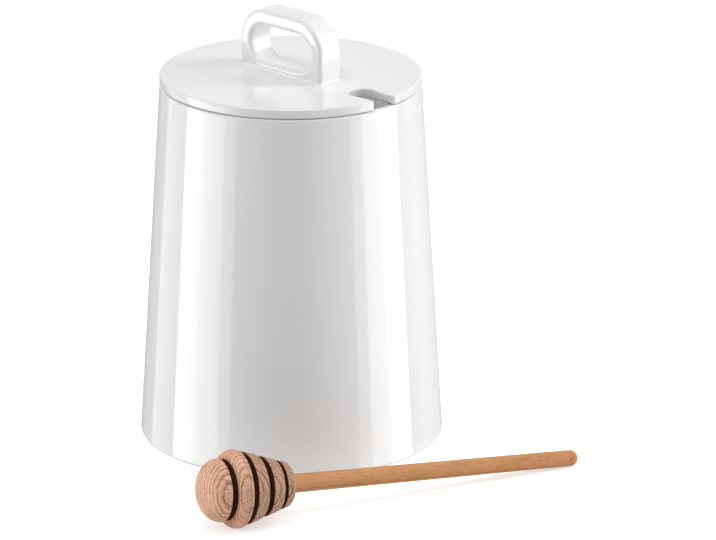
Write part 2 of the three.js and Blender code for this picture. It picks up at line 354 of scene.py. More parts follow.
def notched_circle(lid, radius, margin, lip):
    """A circle with the dipper's notch in its +X side. The notch is grown by a margin."""
    half = lid.notch_width / 2 + margin
    end_radius = half + lid.notch_widening
    end_x = pot_settings().pot.rim_radius - lid.notch_depth + lid.notch_width / 2 + lid.notch_widening
    mouth = half + lip
    mouth_x = math.sqrt(radius ** 2 - mouth ** 2)
    rim_turn = math.atan2(mouth, mouth_x)
    end_turn = math.asin(half / end_radius)
    points = arc(0, 0, radius, rim_turn, math.tau - rim_turn, ROUND_STEPS)
    if lip:
        points += arc(mouth_x - lip, -mouth, lip, 0, QUARTER, steps=8)[1:]
    points += arc(end_x, 0, end_radius, -end_turn, end_turn - math.tau, steps=40)
    if lip:
        points += arc(mouth_x - lip, mouth, lip, -QUARTER, 0, steps=8)[:-1]
    return supported(points, closed=True)


def rounded_levels(bottom, top, low_edge, high_edge, steps=5, land=SUPPORT):
    """(inset, height) pairs up a wall whose lower and upper edges are rounded. The land is how far the flat
    faces beyond the roundings get their extra points."""
    turns = [QUARTER * i / steps for i in range(steps + 1)]
    low, high = [(0, bottom)], [(0, top)]
    if low_edge:
        low = [(low_edge * (1 - math.sin(a)), bottom + low_edge * (1 - math.cos(a))) for a in turns]
    if high_edge:
        high = [(high_edge * (1 - math.cos(a)), top - high_edge * (1 - math.sin(a))) for a in turns]
    levels = supported(low + high)
    if low_edge:
        levels.insert(0, (low_edge + land, bottom))
    if high_edge:
        levels.append((high_edge + land, top))
    return levels


def pot_profile(pot):
    """Out along the underside, up the straight side, over the rim, and down into the well to its middle."""
    lean = math.atan2(pot.base_radius - pot.rim_radius, pot.height)

    def outer(height):
        return pot.base_radius + (pot.rim_radius - pot.base_radius) * height / pot.height

    foot = outer(pot.foot_edge) - pot.foot_edge / math.cos(lean)
    well_height = pot.floor + pot.well_edge
    well = outer(well_height) - pot.wall - pot.well_edge / math.cos(lean)
    rim_height = pot.height - pot.rim_edge
    outer_rim = outer(rim_height) - pot.rim_edge
    inner_rim = outer(rim_height) - pot.wall + pot.rim_edge
    return supported([
        (0, 0),
        *arc(foot, pot.foot_edge, pot.foot_edge, -QUARTER, lean, steps=8),
        *arc(outer_rim, rim_height, pot.rim_edge, lean, QUARTER, steps=6),
        *arc(inner_rim, rim_height, pot.rim_edge, QUARTER, math.pi, steps=6),
        *arc(well, well_height, pot.well_edge, lean, -QUARTER, steps=14),
        (0, pot.floor),
    ])


def bulge(from_radius, start, to_radius, end, steps):
    """A quarter of an ellipse that bulges outwards from one radius and place to another."""
    return [(from_radius + (to_radius - from_radius) * across, end + (end - start) * along)
            for across, along in arc(0, 0, 1, -QUARTER, 0, steps)]


HeadPlaces = namedtuple("HeadPlaces", "belly peak belly_end rings_end tail tail_turn end")


def head_places(dipper):
    """Where the belly, the rings and the tail start, peak, round off and end, from the nose tip."""
    belly = dipper.nose_length + dipper.groove
    belly_end = belly + dipper.ring
    rings_end = belly_end + 2 * (dipper.groove + dipper.ring)
    tail = rings_end + dipper.tail_groove
    end = tail + dipper.tail_length
    peak, tail_turn = belly + BELLY_PEAK * dipper.ring, end - dipper.tail_dome
    return HeadPlaces(belly, peak, belly_end, rings_end, tail, tail_turn, end)


def head_cone(dipper, along):
    """The head's radius behind the belly, along one straight cone."""
    at = head_places(dipper)
    share = (along - at.belly_end) / (at.tail_turn - at.belly_end)
    return dipper.belly_back + (dipper.tail_radius - dipper.belly_back) * share


def head_profile(dipper):
    """Along the nose, the belly, the two rings and the tail, and back into the stick's bore."""
    at, core = head_places(dipper), dipper.core_radius
    points = bulge(0, 0, dipper.nose_radius, dipper.nose_length, steps=20)
    points += [(core, dipper.nose_length), (core, at.belly)]
    points += bulge(dipper.belly_front, at.belly, dipper.belly_radius, at.peak, steps=10)
    points += [(dipper.belly_back, at.belly_end), (core, at.belly_end)]
    for start in (at.belly_end + dipper.groove, at.rings_end - dipper.ring):
        end = start + dipper.ring
        points += [(core, start), (head_cone(dipper, start), start),
                   (head_cone(dipper, end), end), (core, end)]
    points += [(core, at.tail), (head_cone(dipper, at.tail), at.tail)]
    points += bulge(dipper.tail_end, at.end, dipper.tail_radius, at.tail_turn, steps=10)[::-1]
    bore, bore_start = dipper.stick_radius + dipper.glue_gap, at.end - dipper.socket - dipper.glue_gap
    points += [(bore, at.end), (bore, bore_start), (0, bore_start)]
    return supported(eased(points, dipper.turned_edge))


def groove_depth(dipper, profile):
    """How far each point of the head's profile is down a groove, from 0 at its lip to 1 on the core."""
    at = head_places(dipper)
    depths = []
    for radius, along in profile:
        lip = dipper.belly_front if along < at.peak else head_cone(dipper, along)
        depth = (lip - radius) / (lip - dipper.core_radius)
        grooved = dipper.nose_length - SLACK < along < at.tail + SLACK
        depths.append(min(max(depth, 0), 1) if grooved else 0)
    return depths


def stick_profile(dipper):
    """From its flat end in the socket to its rounded far end."""
    head_end = head_places(dipper).end
    start = head_end - dipper.socket
    tip = arc(0, dipper.total - dipper.stick_end, dipper.stick_end, 0, QUARTER, steps=12)
    return supported([(0, start), (dipper.stick_radius, start), (dipper.stick_radius, head_end), *tip])


def dipper_place(dipper):
    """The dipper's own frame, nose tip at its origin and stick up Z, as it lies on belly and stick's end."""
    peak = head_places(dipper).peak
    slope = math.atan2(dipper.belly_radius - dipper.stick_end, dipper.total - dipper.stick_end - peak)
    heading = Vector((math.cos(dipper.heading), math.sin(dipper.heading), 0))
    left = Vector((-heading.y, heading.x, 0))
    along = heading * math.cos(slope) - Vector((0, 0, math.sin(slope)))
    down = left.cross(along)
    corner = Vector((0, 0, dipper.belly_radius * math.cos(slope)))
    beside = -pot_settings().pot.base_radius - dipper.foot_gap
    corner += left * beside - heading * dipper.setback - along * peak
    turn = Matrix((down, left, along)).transposed().to_4x4()
    return Matrix.Translation(corner) @ turn


# Meshes


def profile_mesh(name, points, depths=None):
    """A profile as a chain of edges, each point marked with how far down a groove it is."""
    mesh = bpy.data.meshes.new(name)
    edges = [(i, i + 1) for i in range(len(points) - 1)]
    mesh.from_pydata([(radius, 0, height) for radius, height in points], edges, [])
    marks = mesh.attributes.new("groove", "FLOAT", "POINT")
    marks.data.foreach_set("value", depths or [0] * len(points))
    return mesh


def grow_by_nodes(name, mesh, tree, values):
    """Runs a tree on a mesh with inputs given by name, and keeps the result as a plain mesh."""
    source = bpy.data.objects.new(name, mesh)
    bpy.context.scene.collection.objects.link(source)
    modifier = source.modifiers.new(tree.name, "NODES")
    modifier.node_group = tree
    for item in tree.interface.items_tree:
        if item.item_type == "SOCKET" and item.in_out == "INPUT" and item.name in values:
            modifier[item.identifier] = values[item.name]
    depsgraph = bpy.context.evaluated_depsgraph_get()
    result = bpy.data.meshes.new_from_object(
        source.evaluated_get(depsgraph), preserve_all_data_layers=True, depsgraph=depsgraph)
    source.modifiers.remove(modifier)
    bpy.data.objects.remove(source)
    bpy.data.meshes.remove(mesh)
    if not result.polygons:
        raise RuntimeError(f"{tree.name} made nothing for {name}")
    result.name = name
    return result


def finished(name, mesh, body, nodes):
    """Tests that a finished mesh is closed, shades it, parents it to its body and hides the CAD nodes that it
    stands for."""
    uses = Counter(key for polygon in mesh.polygons for key in polygon.edge_keys)
    bad = sum(count != 2 for count in uses.values())
    if bad:
        raise RuntimeError(f"{name} isn't closed: {bad} edges aren't between two faces")
    mesh.shade_smooth()
    mesh.set_sharp_from_angle(angle=SHARP_ANGLE)
    piece = bpy.data.objects.new(name, mesh)
    bpy.context.scene.collection.objects.link(piece)
    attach(piece, body)
    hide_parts(*nodes)
    return piece


def from_bmesh(name, bm, material):
    """The mesh that a bmesh has become, with its doubles merged and its faces turned outwards."""
    bmesh.ops.remove_doubles(bm, verts=bm.verts, dist=WELD)
    bmesh.ops.recalc_face_normals(bm, faces=bm.faces)
    mesh = bpy.data.meshes.new(name)
    bm.to_mesh(mesh)
    bm.free()
    mesh.materials.append(material)
    return mesh


def wall(bm, outline, levels):
    """A closed wall through an outline inset at each level. Returns its first and last loop of points."""
    loops = [[bm.verts.new((*point, height)) for point in grown(outline, -inset)] for inset, height in levels]
    for low, high in zip(loops, loops[1:]):
        for i in range(len(outline)):
            bm.faces.new((low[i - 1], low[i], high[i], high[i - 1]))
    return loops[0], loops[-1]


def loop_edges(bm, *loops):
    return [bm.edges.get((loop[i - 1], loop[i])) for loop in loops for i in range(len(loop))]


def cap(bm, *loops):
    """Fills the flat face between an outer loop and any holes in it."""
    bmesh.ops.triangle_fill(bm, use_beauty=True, edges=loop_edges(bm, *loops))


def outwards(levels):
    """The levels of a hole, whose wall stands back where an outline's would come in."""
    return [(-inset, height) for inset, height in levels]


def half_length(handle):
    return handle.eye_length / 2 + handle.end_wall


def screw_offset():
    """How far the screws stand from the pot's axis."""
    return half_length(pot_settings().handle) - pot_settings().screws.inset


def screw_circle(side, radius):
    """The outline of a hole for the screw on one side."""
    return arc(side * screw_offset(), 0, radius, 0, math.tau, steps=32)[:-1]


def lid_bottom():
    """The height of the plate's underside."""
    return pot_settings().pot.height + pot_settings().lid.seat_gap


def plate_mesh(name, lid, screws, bottom, material):
    """The notched disc with two countersunk holes from beneath."""
    bm = bmesh.new()
    top = bottom + lid.thickness
    disc = notched_circle(lid, pot_settings().pot.rim_radius, 0, lid.notch_lip)
    outer = wall(bm, disc, rounded_levels(bottom, top, lid.edge, lid.edge))
    shank, head = screws.shank_radius + screws.clearance, screws.head_radius + screws.clearance
    # The head's part of the hole stands back from the shank's.
    sunk = [(shank - head, bottom), (shank - head, bottom + screws.head_lip + screws.clearance),
            (0, bottom + screws.head_height + screws.clearance), (0, top)]
    holes = [wall(bm, screw_circle(side, shank), sunk) for side in (-1, 1)]
    for loops in zip(outer, *holes):
        cap(bm, *loops)
    return from_bmesh(name, bm, material)


def ring_mesh(name, lid, bottom, top, material):
    """The locating ring with the wall that closes it round the notch."""
    bm = bmesh.new()
    pot = pot_settings().pot
    radius = pot.rim_radius - pot.wall - lid.ring_clearance
    # The lands of both sides have to leave some of the ring's narrow foot between them.
    levels = rounded_levels(bottom, top, lid.ring_edge, 0, land=(lid.ring_wall / 2 - lid.ring_edge) / 2)
    outer = wall(bm, notched_circle(lid, radius, 0, 0), levels)
    inner = wall(bm, notched_circle(lid, radius - lid.ring_wall, lid.ring_wall, 0), outwards(levels))
    for loops in zip(outer, inner):
        cap(bm, *loops)
    return from_bmesh(name, bm, material)


def handle_outlines(handle):
    """The loop and its eye from the side. The loop goes on below the plate, where it is cut off later."""
    half = half_length(handle)
    height = handle.sill + handle.eye_height + handle.top_wall
    shoulder_x, shoulder_z = half - handle.shoulder, height - handle.shoulder
    below = -4 * handle.edge
    loop = [
        (-half, below), (half, below),
        *arc(shoulder_x, shoulder_z, handle.shoulder, 0, QUARTER, steps=24),
        *arc(-shoulder_x, shoulder_z, handle.shoulder, QUARTER, math.pi, steps=24),
    ]
    reach, radius = (handle.eye_length - handle.eye_height) / 2, handle.eye_height / 2
    eye_z = handle.sill + radius
    eye = [
        *arc(reach, eye_z, radius, -QUARTER, QUARTER, steps=32),
        *arc(-reach, eye_z, radius, QUARTER, 3 * QUARTER, steps=32),
    ]
    return supported(loop, closed=True), supported(eye, closed=True)


def slice_level(bm, height, clear_below=False):
    """Cuts the mesh along a level plane, and can take away what lies below it."""
    bmesh.ops.bisect_plane(bm, geom=[*bm.verts, *bm.edges, *bm.faces], plane_co=(0, 0, height),
                           plane_no=(0, 0, 1), clear_inner=clear_below)


def flare_foot(bm, handle, across, steps=6):
    """Cuts the loop off at the plate and spreads its lowest part all round into a hollow fillet."""
    fillet = handle.foot_fillet
    for i in range(1, steps + 1):
        slice_level(bm, fillet * (1 - math.cos(QUARTER * i / steps)))
    slice_level(bm, fillet + SUPPORT)
    slice_level(bm, 0, clear_below=True)
    bmesh.ops.remove_doubles(bm, verts=bm.verts, dist=WELD)
    core_x, core_y = half_length(handle) - handle.edge, across - handle.edge
    for vert in bm.verts:
        if vert.co.z < fillet:
            x, y = min(max(vert.co.x, -core_x), core_x), min(max(vert.co.y, -core_y), core_y)
            away = Vector((vert.co.x - x, vert.co.y - y, 0)).normalized()
            vert.co += away * (fillet - math.sqrt(fillet ** 2 - (fillet - vert.co.z) ** 2))


def close_foot(bm, screws):
    """Closes the foot's underside, with a blind bore in it for each screw."""
    rim = [edge for edge in bm.edges if edge.is_boundary]
    for side in (-1, 1):
        bore = screw_circle(side, screws.shank_radius + screws.clearance)
        mouth, end = wall(bm, bore, [(0, 0), (0, screws.reach + screws.clearance)])
        cap(bm, end)
        rim += loop_edges(bm, mouth)
    bmesh.ops.triangle_fill(bm, use_beauty=True, edges=rim)


def handle_mesh(name, handle, screws, bottom, material):
    """The loop handle: a side view with a long eye, rounded across, on a hollow fillet at its foot."""
    bm = bmesh.new()
    loop, eye = handle_outlines(handle)
    across = handle.thickness / 2
    levels = rounded_levels(-across, across, handle.edge, handle.edge, steps=7)
    outer, inner = wall(bm, loop, levels), wall(bm, eye, outwards(levels))
    for loops in zip(outer, inner):
        cap(bm, *loops)
    bmesh.ops.rotate(bm, verts=bm.verts, matrix=Matrix.Rotation(QUARTER, 3, "X"))
    flare_foot(bm, handle, across)
    close_foot(bm, screws)
    bmesh.ops.translate(bm, verts=bm.verts, vec=(0, 0, bottom))
    return from_bmesh(name, bm, material)


# Materials


def new_material(name):
    """A material whose tree is still empty, and that tree."""
    material = bpy.data.materials.new(name)
    material.use_nodes = True
    material.node_tree.nodes.clear()
    return material, material.node_tree


def moulded_plastic(name, white, roughness, wave):
    """ABS, injection moulded. The polished tool gives sharp reflections, and the shrinking skin a very faint
    waviness in them, as long as the given wave. Handling leaves the gloss a little uneven in patches 22 mm
    across, and the melt's flow leaves faint tones 60 mm across."""
    material, tree = new_material(name)
    place = add(tree, "ShaderNodeTexCoord").outputs["Object"]
    smudge = add(tree, "ShaderNodeTexNoise", {
        "Vector": place, "Scale": 1 / 0.022, "Detail": 3.0, "Roughness": 0.6})
    gloss = add(tree, "ShaderNodeMapRange", {
        "Value": smudge, "From Min": 0.3, "From Max": 0.75,
        "To Min": roughness * 0.85, "To Max": roughness * 1.35})
    skin = add(tree, "ShaderNodeTexNoise", {"Vector": place, "Scale": 1 / wave, "Detail": 1.0})
    relief = add(tree, "ShaderNodeBump", {"Height": skin, "Distance": 0.000004, "Strength": 1.0})
    flow = add(tree, "ShaderNodeTexNoise", {"Vector": place, "Scale": 1 / 0.06, "Detail": 2.0})
    tone = add(tree, "ShaderNodeMix", {
        0: flow, 6: white, 7: tuple(0.985 * c for c in white[:3]) + (1,)}, data_type="RGBA")
    shader = add(tree, "ShaderNodeBsdfPrincipled", {
        "Base Color": tone.outputs[2], "Roughness": gloss, "IOR": 1.53, "Normal": relief})
    add(tree, "ShaderNodeOutputMaterial", {"Surface": shader})
    return material


def cold_headed_steel(name, base):
    """Stainless steel wire, cold headed and tumbled: soft reflections with scratches all ways, 0.4 mm apart,
    which is coarser than the real ones so that they show."""
    material, tree = new_material(name)
    place = add(tree, "ShaderNodeTexCoord").outputs["Object"]
    scratch = add(tree, "ShaderNodeTexNoise", {
        "Vector": place, "Scale": 1 / 0.0004, "Detail": 4.0, "Roughness": 0.7, "Distortion": 2.0})
    dull = add(tree, "ShaderNodeMapRange", {"Value": scratch, "To Min": 0.2, "To Max": 0.42})
    relief = add(tree, "ShaderNodeBump", {"Height": scratch, "Distance": 0.00001, "Strength": 0.6})
    shader = add(tree, "ShaderNodeBsdfPrincipled", {
        "Base Color": base, "Metallic": 1.0, "Roughness": dull, "Normal": relief})
    add(tree, "ShaderNodeOutputMaterial", {"Surface": shader})
    return material


def beech(name, grain, early, late, fleck, ring_spacing, fleck_share, painted_groove_shade=None, painted_shade_along=(0, 1, 1)):
    """Steamed beech, turned and left bare: matt, with growth rings, fine fibres and short dark rays.
    The grain matrix is where the wood's heart lies: its Z runs along the fibres and the rings go round it.
    Painted shade along says from which to which millimetre along the fibres the colour falls, and to what
    share; that fall is painted shade.
    Painted groove shade holds the two colours of shade painted into the grooves: it starts at the lip and
    deepens inside."""
    material, tree = new_material(name)
    place = add(tree, "ShaderNodeTexCoord").outputs["Object"]
    # From here on the pattern is in millimetres of the wood's own frame.
    wood = add(tree, "ShaderNodeMapping", {
        "Vector": place, "Location": grain.translation, "Rotation": grain.to_euler("XYZ"),
        "Scale": (0.001, 0.001, 0.001)}, vector_type="TEXTURE").outputs[0]

    def spots(size, stretch, detail, roughness=0.55):
        """A pattern whose spots are a size in millimetres across and stretched along the fibres."""
        run = add(tree, "ShaderNodeVectorMath", {0: wood, 1: (1, 1, 1 / stretch)}, operation="MULTIPLY")
        return add(tree, "ShaderNodeTexNoise", {
            "Vector": run, "Scale": 1 / size, "Detail": detail, "Roughness": roughness}).outputs[0]

    # At scale 1 the wave's rings are tau / 20 apart.
    rings = add(tree, "ShaderNodeTexWave", {
        "Vector": wood, "Scale": math.tau / 20 / ring_spacing, "Distortion": 2.6, "Detail": 3.0,
        "Detail Scale": 2.2, "Detail Roughness": 0.6},
        wave_type="RINGS", rings_direction="Z", wave_profile="SAW")
    late_wood = add(tree, "ShaderNodeValToRGB", {"Fac": rings.outputs["Fac"]})
    late_starts, late_ends = late_wood.color_ramp.elements
    late_starts.position, late_ends.position = 0.52, 0.9
    fibre, cloud = spots(0.35, 16, 4.0, 0.65), spots(6.0, 2, 2.0)
    along = add(tree, "ShaderNodeSeparateXYZ", {0: wood}).outputs["Z"]
    shade_from, shade_to, shade_left = painted_shade_along
    shares = {}
    for use, value, low, high, bottom, top in (
            ("faded lines", spots(3.5, 3, 2.0), 0.35, 0.65, 0.25, 1.0),
            ("fibre lines", fibre, 0.35, 0.7, 0.0, 0.55),
            ("rays", spots(0.75, 2.8, 2.0), 0.56, 0.68, 0.0, fleck_share),
            ("cloud hue", cloud, 0.35, 0.65, 0.49, 0.501),
            ("cloud tone", cloud, 0.3, 0.7, 1.07, 0.93),
            # painted shade, falling along the fibres
            ("tone", along, shade_from, shade_to, 1.0, shade_left),
            ("roughness", fibre, 0.0, 1.0, 0.5, 0.78)):
        shares[use] = add(tree, "ShaderNodeMapRange", {
            "Value": value, "From Min": low, "From Max": high, "To Min": bottom, "To Max": top}).outputs[0]
    line = add(tree, "ShaderNodeMath", {0: late_wood, 1: shares["faded lines"]}, operation="MULTIPLY")
    lines = add(tree, "ShaderNodeMath", {0: line, 1: shares["fibre lines"]}, operation="ADD", use_clamp=True)
    base = add(tree, "ShaderNodeMix", {0: lines, 6: early, 7: late}, data_type="RGBA")
    flecked = add(tree, "ShaderNodeMix", {0: shares["rays"], 6: base.outputs[2], 7: fleck}, data_type="RGBA")
    tinted = add(tree, "ShaderNodeHueSaturation", {
        "Color": flecked.outputs[2], "Hue": shares["cloud hue"], "Value": shares["cloud tone"]})
    # Painted shade: the colour falls along the fibres.
    painted_shaded = add(tree, "ShaderNodeHueSaturation", {"Color": tinted, "Value": shares["tone"]})
    surface = painted_shaded.outputs[0]
    shine, dull = 0.2, 0.02  # specular levels of bare wood and of the grooves' painted shade
    if painted_groove_shade:
        # Painted shade in the grooves: from the lip colour at their edge to the floor colour deeper in.
        depth = add(tree, "ShaderNodeAttribute", attribute_name="groove").outputs["Fac"]
        lip = {"Value": depth, "From Min": 0.015, "From Max": 0.08}
        inside = {"Value": depth, "From Min": 0.08, "From Max": 0.6}
        for shade_colour, reach in zip(painted_groove_shade, (lip, inside)):
            cover = add(tree, "ShaderNodeMapRange", reach).outputs[0]
            surface = add(tree, "ShaderNodeMix", {0: cover, 6: surface, 7: shade_colour}, data_type="RGBA").outputs[2]
        shine = add(tree, "ShaderNodeMapRange", {**lip, "To Min": shine, "To Max": dull}).outputs[0]
    height = add(tree, "ShaderNodeMath", {0: fibre, 1: late_wood}, operation="SUBTRACT")
    relief = add(tree, "ShaderNodeBump", {"Height": height, "Distance": 0.00004, "Strength": 0.8})
    shader = add(tree, "ShaderNodeBsdfPrincipled", {
        "Base Color": surface, "Roughness": shares["roughness"], "IOR": 1.45,
        "Specular IOR Level": shine, "Normal": relief})
    add(tree, "ShaderNodeOutputMaterial", {"Surface": shader})
    return material


def shown_white(tree):
    """1 for rays of the camera, mirrored ones and those through clear things, 0 for the light on things."""
    rays = add(tree, "ShaderNodeLightPath").outputs
    seen = add(tree, "ShaderNodeMath", {0: rays["Is Camera Ray"], 1: rays["Is Glossy Ray"]},
               operation="MAXIMUM")
    return add(tree, "ShaderNodeMath", {0: seen, 1: rays["Is Transmission Ray"]}, operation="MAXIMUM")


def white_ground(name, lift):
    """Matt white paper. What it adds for the camera and for reflections only lifts it to the background's
    white, so it still takes the object's shadow."""
    material, tree = new_material(name)
    power = add(tree, "ShaderNodeMath", {0: shown_white(tree), 1: lift}, operation="MULTIPLY")
    glow = add(tree, "ShaderNodeEmission", {"Strength": power})
    paper = add(tree, "ShaderNodeBsdfDiffuse", {"Color": linear("F2F2F2")})
    both = add(tree, "ShaderNodeAddShader", {0: paper, 1: glow})
    add(tree, "ShaderNodeOutputMaterial", {"Surface": both})
    return material


def grey_card(name, grey):
    """Painted card, matt."""
    material, tree = new_material(name)
    paint = add(tree, "ShaderNodeBsdfDiffuse", {"Color": linear(grey)})
    add(tree, "ShaderNodeOutputMaterial", {"Surface": paint})
    return material


def white_room(name, ambient):
    """A white background, whose light on the object has a level of its own."""
    world = bpy.data.worlds.new(name)
    world.use_nodes = True
    tree = world.node_tree
    tree.nodes.clear()
    level = add(tree, "ShaderNodeMapRange", {"Value": shown_white(tree), "To Min": ambient, "To Max": 1.0})
    sky = add(tree, "ShaderNodeBackground", {"Color": (1, 1, 1, 1), "Strength": level})
    add(tree, "ShaderNodeOutputWorld", {"Surface": sky})
    return world


# Operators


class PieceOperator:
    bl_options = {"REGISTER", "UNDO"}


class HONEYPOT_OT_pot_shell(PieceOperator, bpy.types.Operator):
    """Turn the pot: a straight tapered side, a flat foot and a rounded well"""
    bl_idname = "honeypot.pot_shell"
    bl_label = "Pot Shell"

    def execute(self, context):
        settings = pot_settings()
        gloss = moulded_plastic("High-gloss ABS", settings.finishes.plastic, roughness=0.07, wave=0.004)
        profile = profile_mesh("pot_profile", pot_profile(settings.pot))
        mesh = grow_by_nodes("pot_shell", profile, turned_form(), {"Steps": ROUND_STEPS, "Material": gloss})
        finished("pot_shell", mesh, "pot", ["pot_body"])
        return {"FINISHED"}


class HONEYPOT_OT_lid(PieceOperator, bpy.types.Operator):
    """Mould the lid's notched plate and the locating ring under it"""
    bl_idname = "honeypot.lid"
    bl_label = "Lid Plate and Ring"

    def execute(self, context):
        settings, bottom = pot_settings(), lid_bottom()
        white, lid = settings.finishes.plastic, settings.lid
        gloss = moulded_plastic("High-gloss ABS, Lid", white, roughness=0.07, wave=0.004)
        satin = moulded_plastic("Satin ABS", white, roughness=0.26, wave=0.0015)
        plate = plate_mesh("lid_disc", lid, settings.screws, bottom, gloss)
        finished("lid_disc", plate, "lid", ["lid_plate"])
        ring = ring_mesh("lid_ring", lid, bottom - lid.ring_depth, bottom, satin)
        finished("lid_ring", ring, "lid", ["lid_plug"])
        return {"FINISHED"}


class HONEYPOT_OT_handle(PieceOperator, bpy.types.Operator):
    """Mould the loop handle on the lid"""
    bl_idname = "honeypot.handle"
    bl_label = "Loop Handle"

    def execute(self, context):
        settings = pot_settings()
        white = settings.finishes.plastic
        gloss = moulded_plastic("High-gloss ABS, Handle", white, roughness=0.08, wave=0.003)
        lid_top = lid_bottom() + settings.lid.thickness
        mesh = handle_mesh("lid_grip", settings.handle, settings.screws, lid_top, gloss)
        finished("lid_grip", mesh, "lid", ["lid_handle"])
        return {"FINISHED"}


class HONEYPOT_OT_screws(PieceOperator, bpy.types.Operator):
    """Set the two countersunk screws that hold the handle from beneath"""
    bl_idname = "honeypot.screws"
    bl_label = "Handle Screws"

    def execute(self, context):
        settings = pot_settings()
        screws = settings.screws
        steel = cold_headed_steel("Cold-headed Stainless Steel", settings.finishes.steel)
        top = settings.lid.thickness + screws.reach
        chamfer = screws.head_lip / 3
        profile = profile_mesh("screw_profile", [
            (0, 0), (screws.head_radius - chamfer, 0), (screws.head_radius, chamfer),
            (screws.head_radius, screws.head_lip), (screws.shank_radius, screws.head_height),
            (screws.shank_radius, top - screws.shank_radius), (0, top)])
        mesh = grow_by_nodes("handle_screws", profile, screw_pair(), {
            "Steps": 40, "Offset": screw_offset(), "Seat Height": lid_bottom(),
            "Drive Reach": screws.drive_reach, "Drive Width": screws.drive_width,
            "Drive Depth": screws.drive_depth, "Material": steel})
        finished("handle_screws", mesh, "lid", ["handle_screw_notch_side", "handle_screw_far_side"])
        return {"FINISHED"}


class HONEYPOT_OT_dipper(PieceOperator, bpy.types.Operator):
    """Turn the dipper's grooved head and its stick, and lay them on the table"""
    bl_idname = "honeypot.dipper"
    bl_label = "Dipper"

    def execute(self, context):
        dipper, finishes = pot_settings().dipper, pot_settings().finishes
        place = dipper_place(dipper)
        # Where each blank's heart lay in the tree, from the piece's own axis: rings cross it as wide arcs.
        head_heart = Matrix.Translation((0.006, 0.034, 0)) @ Matrix.Rotation(math.radians(9), 4, "X")
        stick_heart = Matrix.Translation((0.012, 0.02, 0)) @ Matrix.Rotation(math.radians(1.2), 4, "Y")
        head_wood = beech(
            "Turned Beech", place @ head_heart, finishes.head_wood, finishes.head_lines, finishes.flecks,
            # painted shade in the grooves, darker the deeper they go
            ring_spacing=1.3, fleck_share=0.5, painted_groove_shade=(finishes.groove_painted_shade, finishes.groove_floor_painted_shade),
            # painted shade: the rings and tail darkened to two thirds from 20 mm behind the nose
            painted_shade_along=(20, 26, 0.66))
        stick_wood = beech(
            "Planed Beech", place @ stick_heart, finishes.stick_wood, finishes.stick_lines, finishes.flecks,
            ring_spacing=2.2, fleck_share=0.35)
        points = head_profile(dipper)
        head = profile_mesh("head_profile", points, groove_depth(dipper, points))
        stick = profile_mesh("stick_profile", stick_profile(dipper))
        for name, profile, steps, wood, slot, node in (
                ("dipper_turned_head", head, 128, head_wood, "beech_head", "dipper_head"),
                ("dipper_round_stick", stick, 64, stick_wood, "beech_stick", "dipper_stick")):
            mesh = grow_by_nodes(name, profile, turned_form(), {"Steps": steps, "Material": wood})
            mesh.transform(place)
            piece = finished(name, mesh, "dipper", [node])
            # The photographed pot doesn't mirror the dipper.
            piece.visible_glossy = False
        return {"FINISHED"}


